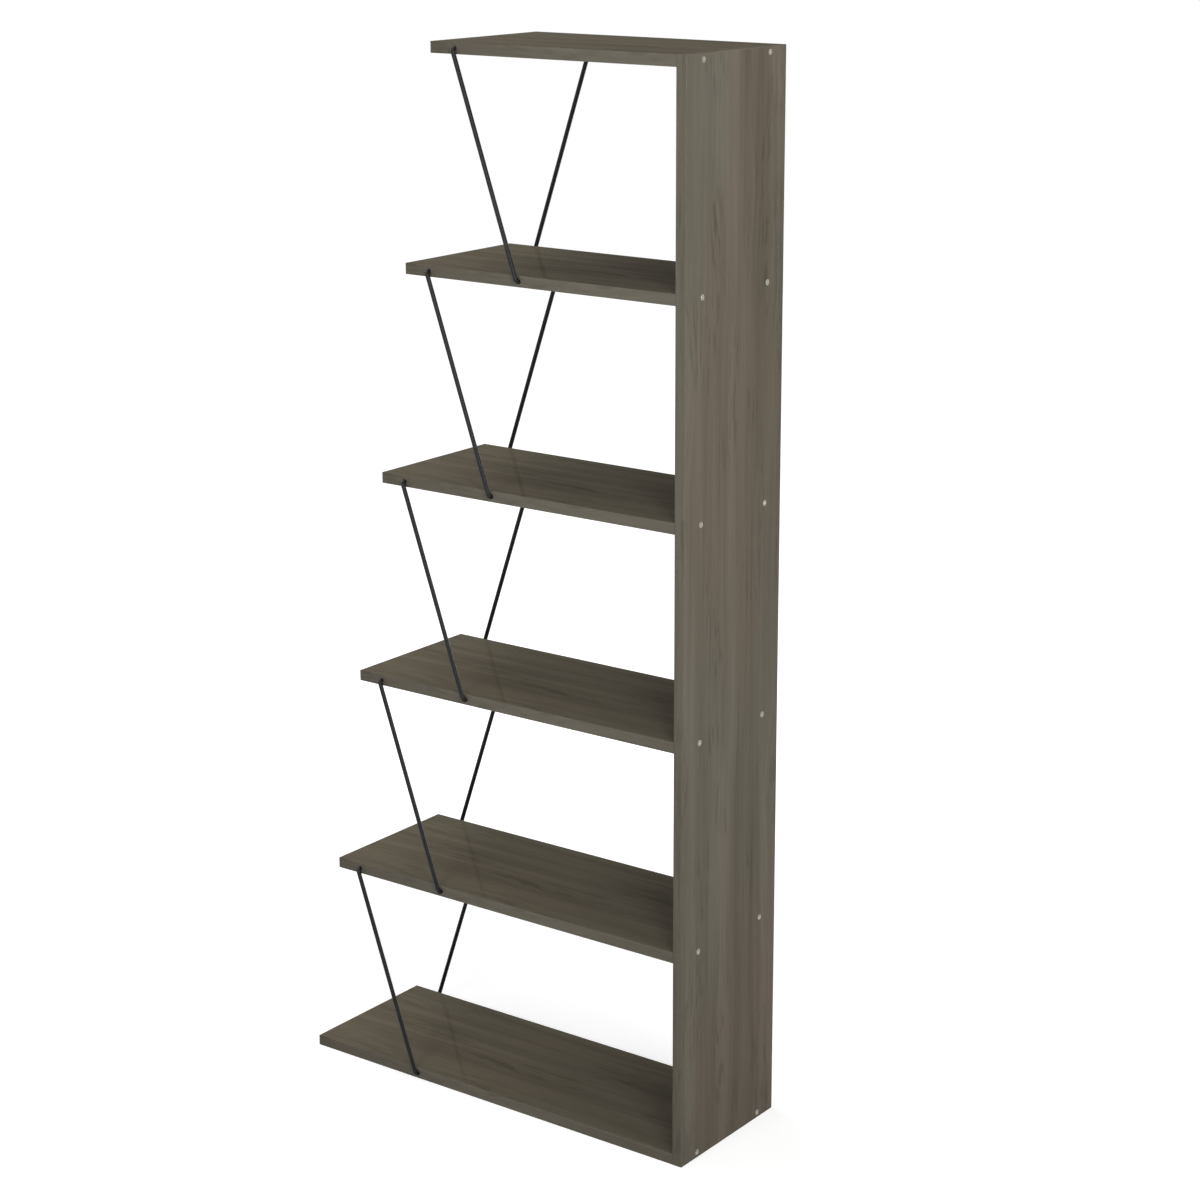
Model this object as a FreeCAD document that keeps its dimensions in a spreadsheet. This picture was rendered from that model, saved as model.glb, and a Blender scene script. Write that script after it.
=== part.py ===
import FreeCAD, Part
import enum
import math
import os

import Sketcher

# Driving dimensions in millimetres, and one angle in degrees
SIZES = (
    ("bottom_width", 650, "overall width at the bottom shelf, side panel included"),
    ("width_step", 50, "how much shorter each shelf is than the one below it"),
    ("depth", 220, "front to rear, over the edge bands"),
    ("shelf_pitch", 290, "underside of one shelf to the underside of the next"),
    ("shelf_thickness", 15, "thickness of the shelf boards"),
    ("panel_thickness", 15, "thickness of the side panel"),
    ("band_thickness", 0.8, "thickness of the edge bands"),
    ("band_edge_radius", 0.5, "rounding of the edge bands' outer edges"),
    ("rod_diameter", 6, "diameter of the zigzag rods"),
    ("rod_bend_radius", 1.5, "inside radius of the bends at a rod's ends"),
    ("rod_bend_gap", 0.5, "from a shelf's edge to the start of the bend"),
    ("rod_leg_depth", 25, "how far a rod's bent end reaches into a shelf's edge"),
    ("rod_hole_clearance", 0.1, "all round a rod in its hole"),
    ("rod_hole_end_gap", 1, "from a rod's tip to the bottom of its hole"),
    ("front_rod_top_inset", 40, "front rod's upper end, from the left end of the shelf above"),
    ("front_rod_foot_inset", 190, "front rod's lower end, from the left end of the shelf below"),
    ("rear_rod_top_inset", 90, "rear rod's upper end, from the left end of the shelf above"),
    ("rear_rod_foot_inset", 40, "rear rod's lower end, from the left end of the shelf below"),
    ("screw_setback", 37, "screw axis from the front or rear edge"),
    ("screw_length", 50, "whole length of a screw, head included"),
    ("screw_head_diameter", 8, "diameter of the countersunk head"),
    ("screw_head_angle", 90, "included angle of the countersink"),
    ("screw_shank_diameter", 5, "diameter of the plain shoulder in the panel"),
    ("screw_core_diameter", 3.6, "core diameter of the threaded end"),
    ("screw_socket_width", 3, "hex socket in the head, across its flats"),
    ("screw_socket_depth", 2.2, "depth of the hex socket"),
    ("screw_clearance", 0.1, "all round a screw in its holes"),
    ("screw_hole_end_gap", 2, "from a screw's tip to the bottom of its pilot hole"),
)

# Shelves from the floor upwards
SHELVES = ("bottom_shelf", "second_shelf", "third_shelf", "fourth_shelf", "fifth_shelf", "top_shelf")
TOP_LEVEL = len(SHELVES) - 1

# Sizes and places that follow from the driving dimensions
TOTAL_HEIGHT = f"({TOP_LEVEL} * sizes.shelf_pitch + sizes.shelf_thickness)"
CORE_DEPTH = "(sizes.depth - 2 * sizes.band_thickness)"
OUTER_RIGHT = "(sizes.bottom_width / 2)"
PANEL_INNER = "(sizes.bottom_width / 2 - sizes.panel_thickness)"
FRONT = "(-sizes.depth / 2)"
REAR = "(sizes.depth / 2)"
CORE_FRONT = "(sizes.band_thickness - sizes.depth / 2)"
CORE_REAR = "(sizes.depth / 2 - sizes.band_thickness)"
MID_SHELF = "(sizes.shelf_thickness / 2)"
BAND_ROUNDING = "min(sizes.band_edge_radius; 0.9 * sizes.band_thickness)"

BEND_LINE_RADIUS = "(sizes.rod_bend_radius + sizes.rod_diameter / 2)"
ROD_STAND_OFF = f"({BEND_LINE_RADIUS} + sizes.rod_bend_gap)"
ROD_REACH = f"({ROD_STAND_OFF} + sizes.rod_leg_depth)"
ROD_HOLE_DIAMETER = "(sizes.rod_diameter + 2 * sizes.rod_hole_clearance)"
ROD_HOLE_DEPTH = "(sizes.rod_leg_depth - sizes.band_thickness + sizes.rod_hole_end_gap)"

SCREW_HEAD_HEIGHT = (
    "((sizes.screw_head_diameter - sizes.screw_shank_diameter) / 2 / tan(sizes.screw_head_angle / 2))"
)
SCREW_REACH = "(sizes.screw_length - sizes.panel_thickness)"
PILOT_DIAMETER = "(sizes.screw_core_diameter + 2 * sizes.screw_clearance)"
PILOT_DEPTH = f"({SCREW_REACH} + sizes.screw_hole_end_gap)"

# Row directions
X_AXIS = FreeCAD.Vector(1, 0, 0)
Y_AXIS = FreeCAD.Vector(0, 1, 0)
Z_AXIS = FreeCAD.Vector(0, 0, 1)


class Point(enum.IntEnum):
    """Points of a line, an arc or a circle in a sketch."""
    START = enum.auto()
    END = enum.auto()
    CENTRE = enum.auto()


class Axis(enum.IntEnum):
    """Fixed axes of a sketch. Its origin is the start of the horizontal one."""
    HORIZONTAL = -1
    VERTICAL = -2


ORIGIN_POINT = (Axis.HORIZONTAL, Point.START)

doc = FreeCAD.newDocument("zigzag_bookshelf")
sub_parts = []


def make_sheet():
    """Spreadsheet with one named cell for each driving dimension."""
    sizes = doc.addObject("Spreadsheet::Sheet", "sizes")
    for row, (alias, number, note) in enumerate(SIZES, start=1):
        sizes.set(f"A{row}", alias)
        sizes.set(f"B{row}", str(number))
        sizes.setAlias(f"B{row}", alias)
        sizes.set(f"C{row}", note)
    doc.recompute()
    return sizes


sheet = make_sheet()


def value(expression):
    """Number that an expression over the sheet gives now."""
    found = sheet.evalExpression(expression)
    return float(getattr(found, "Value", found))


def shelf_left(level):
    """X of a shelf's left end."""
    return f"({level} * sizes.width_step - sizes.bottom_width / 2)"


def shelf_length(level):
    """Length of a shelf from its left end to the panel's inner face."""
    return f"(sizes.bottom_width - {level} * sizes.width_step - sizes.panel_thickness)"


def shelf_base(level):
    """Height of a shelf's underside."""
    return f"({level} * sizes.shelf_pitch)"


def new_body(label):
    """Empty body that becomes one sub-part."""
    body = doc.addObject("PartDesign::Body", label)
    body.Label = label
    return body


def put(piece, x, y, z, rotation=FreeCAD.Rotation()):
    """Place a piece with its position tied to the sheet."""
    piece.Placement = FreeCAD.Placement(FreeCAD.Vector(), rotation)
    for axis, expression in (("x", x), ("y", y), ("z", z)):
        piece.setExpression(f"Placement.Base.{axis}", expression)


def new_sketch(body, plane, offset="0"):
    """Sketch on one of the body's own planes, moved along the plane's normal by offset."""
    support = [feature for feature in body.Origin.OriginFeatures if feature.Role == plane]
    sketch = body.newObject("Sketcher::SketchObject", f"{body.Name}_sketch")
    sketch.AttachmentSupport = (support[0], [""])
    sketch.MapMode = "FlatFace"
    sketch.setExpression("AttachmentOffset.Base.z", offset)
    return sketch


def dimension(sketch, expression, kind, *where):
    """Dimension of a sketch, tied to the sheet."""
    rule = Sketcher.Constraint(kind, *where, value(expression))
    index = sketch.addConstraint(rule)
    sketch.setExpression(f"Constraints[{index}]", expression)


def locate(sketch, geometry, point, across, up):
    """Hold one point of a sketch at two expressions, measured from the sketch's origin."""
    for kind, expression, axis in (("DistanceX", across, Axis.VERTICAL), ("DistanceY", up, Axis.HORIZONTAL)):
        distance = value(expression)
        if distance > 0:
            dimension(sketch, expression, kind, *ORIGIN_POINT, geometry, point)
        elif distance < 0:
            dimension(sketch, f"-({expression})", kind, geometry, point, *ORIGIN_POINT)
        else:
            sketch.addConstraint(Sketcher.Constraint("PointOnObject", geometry, point, axis))


def sketch_line(sketch, start, end):
    """Straight line of a sketch between two plain points."""
    return sketch.addGeometry(Part.LineSegment(FreeCAD.Vector(*start, 0), FreeCAD.Vector(*end, 0)))


def draw_outline(sketch, points):
    """Closed outline of straight lines through points that are given as pairs of expressions."""
    corners = [FreeCAD.Vector(value(across), value(up), 0) for across, up in points]
    following = corners[1:] + corners[:1]
    lines = [sketch.addGeometry(Part.LineSegment(*ends)) for ends in zip(corners, following)]
    for line, after in zip(lines, lines[1:] + lines[:1]):
        sketch.addConstraint(Sketcher.Constraint("Coincident", line, Point.END, after, Point.START))
    for line, (across, up) in zip(lines, points):
        locate(sketch, line, Point.START, across, up)


def draw_circles(sketch, centres, diameter):
    """Equal circles at centres that are given as pairs of expressions."""
    first = None
    for across, up in centres:
        centre = FreeCAD.Vector(value(across), value(up), 0)
        ring = sketch.addGeometry(Part.Circle(centre, Z_AXIS, value(diameter) / 2))
        locate(sketch, ring, Point.CENTRE, across, up)
        if first is None:
            first = ring
            dimension(sketch, diameter, "Diameter", ring)
        else:
            sketch.addConstraint(Sketcher.Constraint("Equal", first, ring))


def pad(body, sketch, length):
    """Pad a sketch along its normal."""
    feature = body.newObject("PartDesign::Pad", f"{body.Name}_pad")
    feature.Profile = sketch
    feature.setExpression("Length", length)
    doc.recompute()
    return feature


def pocket(body, sketch, depth=None, along_normal=False):
    """Cut a sketch into the body to a depth, or right through where no depth is given."""
    volume = body.Shape.Volume
    feature = body.newObject("PartDesign::Pocket", f"{body.Name}_pocket")
    feature.Profile = sketch
    feature.Reversed = along_normal
    if depth is None:
        feature.Type = "ThroughAll"
    else:
        feature.setExpression("Length", depth)
    doc.recompute()
    if body.Shape.Volume >= volume:
        raise RuntimeError(f"a pocket of {body.Label} removes nothing")
    return feature


def rod_insets(level, side):
    """Distances of a shelf edge's rod holes from its left end: the rod below, then the rod above."""
    insets = []
    if level > 0:
        insets.append(f"sizes.{side}_rod_top_inset")
    if level < TOP_LEVEL:
        insets.append(f"sizes.{side}_rod_foot_inset")
    return insets


def make_shelf(level, label):
    """Shelf board, drilled in both long edges for the rods and in its right end for the screws."""
    board = new_body(label)
    length = f"({shelf_length(level)} - sizes.band_thickness)"
    outline = new_sketch(board, "XY_Plane")
    draw_outline(outline, (("0", "0"), (length, "0"), (length, CORE_DEPTH), ("0", CORE_DEPTH)))
    pad(board, outline, "sizes.shelf_thickness")

    for side, plane_offset in (("front", "0"), ("rear", f"-{CORE_DEPTH}")):
        centres = [(f"({inset} - sizes.band_thickness)", MID_SHELF) for inset in rod_insets(level, side)]
        rod_holes = new_sketch(board, "XZ_Plane", plane_offset)
        draw_circles(rod_holes, centres, ROD_HOLE_DIAMETER)
        pocket(board, rod_holes, ROD_HOLE_DEPTH, along_normal=(side == "rear"))

    near = "(sizes.screw_setback - sizes.band_thickness)"
    far = f"({CORE_DEPTH} - {near})"
    pilots = new_sketch(board, "YZ_Plane", length)
    draw_circles(pilots, [(near, MID_SHELF), (far, MID_SHELF)], PILOT_DIAMETER)
    pocket(board, pilots, PILOT_DEPTH)

    put(board, f"{shelf_left(level)} + sizes.band_thickness", CORE_FRONT, shelf_base(level))
    sub_parts.append(board)


def make_panel():
    """Side panel, with a countersunk clearance hole for every screw."""
    panel = new_body("side_panel")
    height = f"({TOTAL_HEIGHT} - sizes.band_thickness)"
    outline = new_sketch(panel, "YZ_Plane")
    draw_outline(outline, (("0", "0"), (CORE_DEPTH, "0"), (CORE_DEPTH, height), ("0", height)))
    pad(panel, outline, "sizes.panel_thickness")
    volume = panel.Shape.Volume

    near = "(sizes.screw_setback - sizes.band_thickness)"
    far = f"({CORE_DEPTH} - {near})"
    rows = [f"({shelf_base(level)} + {MID_SHELF})" for level in range(len(SHELVES))]
    shank_hole = "(sizes.screw_shank_diameter + 2 * sizes.screw_clearance)"
    screw_points = new_sketch(panel, "YZ_Plane", "sizes.panel_thickness")
    draw_circles(screw_points, [(across, up) for up in rows for across in (near, far)], shank_hole)
    doc.recompute()
    holes = panel.newObject("PartDesign::Hole", "screw_holes")
    holes.Profile = screw_points
    doc.recompute()
    holes.DepthType = "ThroughAll"
    holes.ThreadType = "None"
    holes.HoleCutType = "Countersink"
    holes.HoleCutCustomValues = True
    holes.setExpression("Diameter", shank_hole)
    holes.setExpression("HoleCutDiameter", "sizes.screw_head_diameter + 2 * sizes.screw_clearance")
    holes.setExpression("HoleCutCountersinkAngle", "sizes.screw_head_angle")
    doc.recompute()
    if panel.Shape.Volume >= volume:
        raise RuntimeError("the screw holes remove nothing from the side panel")

    put(panel, PANEL_INNER, CORE_FRONT, "0")
    sub_parts.append(panel)


def make_band(label, length, width, hole_insets=()):
    """Edge band along X, outer face on the XZ plane, outer edges rounded, any holes on its middle line."""
    band = new_body(label)
    section = new_sketch(band, "YZ_Plane")
    thick = value("sizes.band_thickness")
    wide = value(width)
    radius = value(BAND_ROUNDING)
    lower_round = Part.Circle(FreeCAD.Vector(radius, radius, 0), Z_AXIS, radius)
    upper_round = Part.Circle(FreeCAD.Vector(radius, wide - radius, 0), Z_AXIS, radius)
    bottom, outer, top, inner = (
        sketch_line(section, start, end)
        for start, end in (
            ((thick, 0), (radius, 0)),
            ((0, radius), (0, wide - radius)),
            ((radius, wide), (thick, wide)),
            ((thick, wide), (thick, 0)),
        )
    )
    lower = section.addGeometry(Part.ArcOfCircle(lower_round, math.pi, 1.5 * math.pi))
    upper = section.addGeometry(Part.ArcOfCircle(upper_round, 0.5 * math.pi, math.pi))
    for rule in (
        ("Tangent", bottom, Point.END, lower, Point.END),
        ("Tangent", lower, Point.START, outer, Point.START),
        ("Tangent", outer, Point.END, upper, Point.END),
        ("Tangent", upper, Point.START, top, Point.START),
        ("Coincident", top, Point.END, inner, Point.START),
        ("Coincident", inner, Point.END, bottom, Point.START),
        ("Horizontal", bottom),
        ("Horizontal", top),
        ("Vertical", outer),
        ("Vertical", inner),
        ("PointOnObject", bottom, Point.START, Axis.HORIZONTAL),
        ("PointOnObject", outer, Point.START, Axis.VERTICAL),
        ("Equal", lower, upper),
    ):
        section.addConstraint(Sketcher.Constraint(*rule))
    dimension(section, BAND_ROUNDING, "Radius", lower)
    dimension(section, "sizes.band_thickness", "DistanceX", *ORIGIN_POINT, bottom, Point.START)
    dimension(section, width, "DistanceY", inner, Point.END, inner, Point.START)
    pad(band, section, length)

    if hole_insets:
        holes = new_sketch(band, "XZ_Plane")
        draw_circles(holes, [(inset, f"({width} / 2)") for inset in hole_insets], ROD_HOLE_DIAMETER)
        pocket(band, holes)
    sub_parts.append(band)
    return band


def turned(along, inward):
    """Rotation that lays a band's length and its inward face normal along two row directions."""
    return FreeCAD.Rotation(along, inward, along.cross(inward), "XYZ")


def make_shelf_bands(level, label):
    """Front, rear and left-end bands of one shelf. The long bands cover the end band's edges."""
    left = shelf_left(level)
    base = shelf_base(level)
    length = shelf_length(level)
    front = make_band(f"{label}_front_band", length, "sizes.shelf_thickness", rod_insets(level, "front"))
    put(front, left, FRONT, base, turned(X_AXIS, Y_AXIS))
    rear = make_band(f"{label}_rear_band", length, "sizes.shelf_thickness", rod_insets(level, "rear"))
    put(rear, left, REAR, f"{base} + sizes.shelf_thickness", turned(X_AXIS, -Y_AXIS))
    end = make_band(f"{label}_end_band", CORE_DEPTH, "sizes.shelf_thickness")
    put(end, left, CORE_REAR, base, turned(-Y_AXIS, X_AXIS))


def make_panel_bands():
    """Front, rear and top bands of the side panel. Its bottom edge stands bare on the floor."""
    front = make_band("side_panel_front_band", TOTAL_HEIGHT, "sizes.panel_thickness")
    put(front, OUTER_RIGHT, FRONT, "0", turned(Z_AXIS, Y_AXIS))
    rear = make_band("side_panel_rear_band", TOTAL_HEIGHT, "sizes.panel_thickness")
    put(rear, PANEL_INNER, REAR, "0", turned(Z_AXIS, -Y_AXIS))
    top = make_band("side_panel_top_band", CORE_DEPTH, "sizes.panel_thickness")
    put(top, OUTER_RIGHT, CORE_FRONT, TOTAL_HEIGHT, turned(Y_AXIS, -Z_AXIS))


def draw_rod_path(sketch, inward, stem_length):
    """Centre line of a rod: foot leg, bend, stem, bend, upper leg. The legs point inward, +1 or -1."""
    bend = value(BEND_LINE_RADIUS)
    reach = value(ROD_REACH)
    height = value(stem_length)
    lower_round = Part.Circle(FreeCAD.Vector(inward * bend, bend, 0), Z_AXIS, bend)
    upper_round = Part.Circle(FreeCAD.Vector(inward * bend, height - bend, 0), Z_AXIS, bend)
    foot = sketch_line(sketch, (inward * reach, 0), (inward * bend, 0))
    stem = sketch_line(sketch, (0, bend), (0, height - bend))
    upper_leg = sketch_line(sketch, (inward * bend, height), (inward * reach, height))
    if inward > 0:
        lower_angles = (math.pi, 1.5 * math.pi)
        upper_angles = (0.5 * math.pi, math.pi)
        enter, leave = Point.END, Point.START
    else:
        lower_angles = (-0.5 * math.pi, 0)
        upper_angles = (0, 0.5 * math.pi)
        enter, leave = Point.START, Point.END
    lower = sketch.addGeometry(Part.ArcOfCircle(lower_round, *lower_angles))
    upper = sketch.addGeometry(Part.ArcOfCircle(upper_round, *upper_angles))
    for rule in (
        ("Tangent", foot, Point.END, lower, enter),
        ("Tangent", lower, leave, stem, Point.START),
        ("Tangent", stem, Point.END, upper, enter),
        ("Tangent", upper, leave, upper_leg, Point.START),
        ("PointOnObject", foot, Point.START, Axis.HORIZONTAL),
        ("PointOnObject", foot, Point.END, Axis.HORIZONTAL),
        ("PointOnObject", stem, Point.START, Axis.VERTICAL),
        ("Vertical", stem),
        ("Horizontal", upper_leg),
        ("Equal", lower, upper),
        ("Equal", foot, upper_leg),
    ):
        sketch.addConstraint(Sketcher.Constraint(*rule))
    dimension(sketch, BEND_LINE_RADIUS, "Radius", lower)
    dimension(sketch, f"{ROD_REACH} - {BEND_LINE_RADIUS}", "Distance", foot)
    dimension(sketch, f"{stem_length} - 2 * {BEND_LINE_RADIUS}", "Distance", stem)


def make_rod(level, side):
    """Bent rod from the edge of one shelf up to the same edge of the next."""
    inward = 1 if side == "front" else -1
    rod = new_body(f"{side}_rod_{level + 1}")
    run = f"(sizes.{side}_rod_foot_inset - sizes.{side}_rod_top_inset - sizes.width_step)"
    path = new_sketch(rod, "YZ_Plane")
    draw_rod_path(path, inward, f"sqrt({run}^2 + sizes.shelf_pitch^2)")
    section = new_sketch(rod, "XZ_Plane", f"{-inward} * {ROD_REACH}")
    draw_circles(section, [("0", "0")], "sizes.rod_diameter")
    pipe = rod.newObject("PartDesign::AdditivePipe", f"{rod.Name}_pipe")
    pipe.Profile = section
    pipe.Spine = (path, [])
    doc.recompute()
    swept = path.Shape.Length * math.pi * value("sizes.rod_diameter") ** 2 / 4
    if not math.isclose(pipe.Shape.Volume, swept, rel_tol=1e-4):
        raise RuntimeError(f"{rod.Label} isn't its section swept along its whole path")

    foot_x = f"{shelf_left(level)} + sizes.{side}_rod_foot_inset"
    plane_y = f"{-inward} * (sizes.depth / 2 + {ROD_STAND_OFF})"
    lean = f"atan2({run}; sizes.shelf_pitch)"
    put(rod, foot_x, plane_y, f"{shelf_base(level)} + {MID_SHELF}", FreeCAD.Rotation(-Y_AXIS, value(lean)))
    rod.setExpression("Placement.Rotation.Angle", lean)
    sub_parts.append(rod)


def make_screw():
    """One screw along X, its head's face on the YZ plane and its tip towards +X."""
    screw = new_body("screw")
    profile = new_sketch(screw, "XY_Plane")
    draw_outline(
        profile,
        (
            ("0", "0"),
            ("0", "sizes.screw_head_diameter / 2"),
            (SCREW_HEAD_HEIGHT, "sizes.screw_shank_diameter / 2"),
            ("sizes.panel_thickness", "sizes.screw_shank_diameter / 2"),
            ("sizes.panel_thickness", "sizes.screw_core_diameter / 2"),
            ("sizes.screw_length", "sizes.screw_core_diameter / 2"),
            ("sizes.screw_length", "0"),
        ),
    )
    turned_solid = screw.newObject("PartDesign::Revolution", "screw_turned")
    turned_solid.Profile = profile
    turned_solid.ReferenceAxis = (profile, ["H_Axis"])
    doc.recompute()

    corner = "(sizes.screw_socket_width / sqrt(3))"
    flat = "(sizes.screw_socket_width / 2)"
    socket = new_sketch(screw, "YZ_Plane")
    draw_outline(
        socket,
        (
            (corner, "0"),
            (f"({corner} / 2)", flat),
            (f"(-{corner} / 2)", flat),
            (f"(-{corner})", "0"),
            (f"(-{corner} / 2)", f"(-{flat})"),
            (f"({corner} / 2)", f"(-{flat})"),
        ),
    )
    pocket(screw, socket, "sizes.screw_socket_depth", along_normal=True)
    return screw


def make_screws():
    """Two screws for each shelf, as one group of separate solids."""
    screw = make_screw()
    head_outwards = FreeCAD.Rotation(Z_AXIS, 180)
    copies = []
    for level, shelf in enumerate(SHELVES):
        for edge, direction in ((FRONT, "+"), (REAR, "-")):
            copy = doc.addObject("App::Link", f"{shelf}_screw")
            copy.LinkedObject = screw
            copy.LinkTransform = False
            place_y = f"{edge} {direction} sizes.screw_setback"
            put(copy, OUTER_RIGHT, place_y, f"{shelf_base(level)} + {MID_SHELF}", head_outwards)
            copies.append(copy)
    group = doc.addObject("Part::Compound", "panel_screws")
    group.Label = "panel_screws"
    group.Links = copies
    sub_parts.append(group)


def check_document():
    """Stop if any object failed or any sub-part is empty or broken."""
    doc.recompute()
    for item in doc.Objects:
        if "Invalid" in item.State or "Error" in item.State:
            raise RuntimeError(f"{item.Label} failed: {item.State}")
    for piece in sub_parts:
        if piece.Shape.isNull() or not piece.Shape.isValid():
            raise RuntimeError(f"{piece.Label} has no valid shape")


def write_parts():
    """One file for each sub-part, named by its label."""
    os.makedirs("parts", exist_ok=True)
    for piece in sub_parts:
        piece.Shape.exportStep(os.path.join("parts", f"{piece.Label}.step"))
    print(f"{len(sub_parts)} sub-parts written")


make_panel()
make_panel_bands()
for shelf_level, shelf_label in enumerate(SHELVES):
    make_shelf(shelf_level, shelf_label)
    make_shelf_bands(shelf_level, shelf_label)
for bay in range(TOP_LEVEL):
    make_rod(bay, "front")
    make_rod(bay, "rear")
make_screws()
check_document()
write_parts()
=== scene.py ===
# %% [markdown]
# The zigzag bookshelf: one upright panel, six shelves that grow towards the floor, and ten black
# rods that tie the free ends of the shelves together in a zigzag.
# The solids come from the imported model, which is loaded as a fixed frame: nothing in it is moved
# or reshaped here. This lesson dresses it: it gives each surface its finish, turns real screws for
# the plain ones, and sets up the floor, the light and the camera. All lengths are in metres.

import math

import bmesh
import bpy
from mathutils import Matrix, Vector


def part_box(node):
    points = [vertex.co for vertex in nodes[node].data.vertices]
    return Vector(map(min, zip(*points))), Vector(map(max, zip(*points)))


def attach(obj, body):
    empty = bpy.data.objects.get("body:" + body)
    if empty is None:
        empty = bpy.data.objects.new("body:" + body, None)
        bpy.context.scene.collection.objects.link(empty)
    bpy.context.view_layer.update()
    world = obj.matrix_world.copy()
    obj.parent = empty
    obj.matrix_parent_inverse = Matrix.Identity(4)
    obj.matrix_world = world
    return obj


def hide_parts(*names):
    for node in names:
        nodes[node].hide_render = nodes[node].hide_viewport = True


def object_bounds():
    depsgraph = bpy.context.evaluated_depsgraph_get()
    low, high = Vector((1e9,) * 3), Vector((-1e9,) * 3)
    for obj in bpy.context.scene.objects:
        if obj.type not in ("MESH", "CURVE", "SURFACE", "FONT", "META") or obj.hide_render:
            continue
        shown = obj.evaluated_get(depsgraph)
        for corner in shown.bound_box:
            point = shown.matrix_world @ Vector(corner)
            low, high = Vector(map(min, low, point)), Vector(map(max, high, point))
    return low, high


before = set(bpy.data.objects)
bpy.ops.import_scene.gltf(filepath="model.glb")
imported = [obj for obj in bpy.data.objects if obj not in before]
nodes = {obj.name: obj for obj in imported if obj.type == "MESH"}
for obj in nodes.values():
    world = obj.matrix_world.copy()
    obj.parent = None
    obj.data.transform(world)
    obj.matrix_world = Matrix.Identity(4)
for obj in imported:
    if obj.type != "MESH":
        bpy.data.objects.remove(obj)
cad_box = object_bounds()
low, high = cad_box
print("nodes", len(nodes), "box", [round(side, 3) for side in high - low])

# %% [markdown]
# The shelves repeat by two steps: each one is a fixed height above the one below, and shorter by
# a fixed length at its left end. Both are read from the boxes of the two lowest shelves, so the
# finish still fits if the model is built in another size.

# %% Measure the shelves
SHELVES = ("bottom_shelf", "second_shelf", "third_shelf", "fourth_shelf", "fifth_shelf", "top_shelf")
shelf_low, shelf_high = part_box("bottom_shelf")
next_low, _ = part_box("second_shelf")
shelf_pitch = next_low.z - shelf_low.z
shelf_step = next_low.x - shelf_low.x
board_thickness = shelf_high.z - shelf_low.z
panel_low, panel_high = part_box("side_panel")
print("pitch", round(shelf_pitch, 4), "step", round(shelf_step, 4), "board", round(board_thickness, 4))

# %% [markdown]
# The camera stands where the photograph was taken from. Its place, direction and focal length were
# found by fitting the straight edges of the boards. The picture's optical centre lies a little to
# the right of the middle and above it, because the photograph was cropped, and the lens shift
# stands for that.

# %% Camera
PHOTO_SIZE = (1200, 1201)
OPTICAL_CENTRE = (636.1, 553.5)
FOCAL_LENGTH_IN_PIXELS = 2689.8
CAMERA_PLACE = (2.1922, -2.7855, 1.7109)
CAMERA_AZIMUTH = math.radians(35.969)
CAMERA_ELEVATION = math.radians(14.812)
SENSOR_SIZE = 36.0
VIEW_DEPTH = 50.0

long_side = max(PHOTO_SIZE)
camera_data = bpy.data.cameras.new("camera")
camera_data.sensor_width = SENSOR_SIZE
camera_data.lens = FOCAL_LENGTH_IN_PIXELS / long_side * SENSOR_SIZE
camera_data.shift_x = (PHOTO_SIZE[0] / 2 - OPTICAL_CENTRE[0]) / long_side
camera_data.shift_y = (OPTICAL_CENTRE[1] - PHOTO_SIZE[1] / 2) / long_side
camera_data.clip_end = VIEW_DEPTH
camera = bpy.data.objects.new("camera", camera_data)
camera.location = CAMERA_PLACE
camera.rotation_euler = (math.pi / 2 - CAMERA_ELEVATION, 0, CAMERA_AZIMUTH)
bpy.context.scene.collection.objects.link(camera)
bpy.context.scene.camera = camera
shift = (round(camera_data.shift_x, 4), round(camera_data.shift_y, 4))
print("lens", round(camera_data.lens, 2), "shift", shift)

# %% [markdown]
# A material is a small network of nodes, and four helpers keep it readable. One starts a material
# and hands over its surface shader. One adds a node, sets its options, and gives each named input
# either a plain value or a link from another node. The other two are short forms of that, for a step
# of arithmetic and for a smooth change from one value to another.

# %% Node helpers
def start_material(name):
    """New node material, with its tree and its surface shader."""
    material = bpy.data.materials.new(name)
    material.use_nodes = True
    tree = material.node_tree
    return material, tree, tree.nodes["Principled BSDF"]


def add(tree, kind, inputs=None, output=0, **options):
    """Add a node and return one of its outputs. An input is a plain value or another node's output."""
    made = tree.nodes.new(kind)
    for option, setting in options.items():
        setattr(made, option, setting)
    for name, given in (inputs or {}).items():
        if isinstance(given, bpy.types.NodeSocket):
            tree.links.new(given, made.inputs[name])
        else:
            made.inputs[name].default_value = given
    return made.outputs[output]


def calculate(tree, operation, first, second=0.0, third=0.0):
    """One step of arithmetic on one to three numbers or outputs."""
    return add(tree, "ShaderNodeMath", {0: first, 1: second, 2: third}, operation=operation)


def fade(tree, source, start, end, low=0.0, high=1.0):
    """Smooth change from low to high as the source goes from start to end."""
    inputs = {"Value": source, "From Min": start, "From Max": end, "To Min": low, "To Max": high}
    return add(tree, "ShaderNodeMapRange", inputs, interpolation_type="SMOOTHSTEP")


print("helpers ready")

# %% [markdown]
# The boards are chipboard faced with a printed paper under clear resin: a grey-brown oak figure.
# Every shelf in the photograph starts with the same part of the print, so the pattern is anchored
# to each shelf's own left end and underside. Floor division of the height by the pitch tells which
# shelf a point belongs to, and one material then serves all six. The height is counted from a margin
# below each shelf, so that rounding can't put a shelf's underside on the level below. On every piece
# the first coordinate runs along its grain and the second across its face. A start says which stretch
# of the roll of printed paper a piece was faced with.

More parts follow.
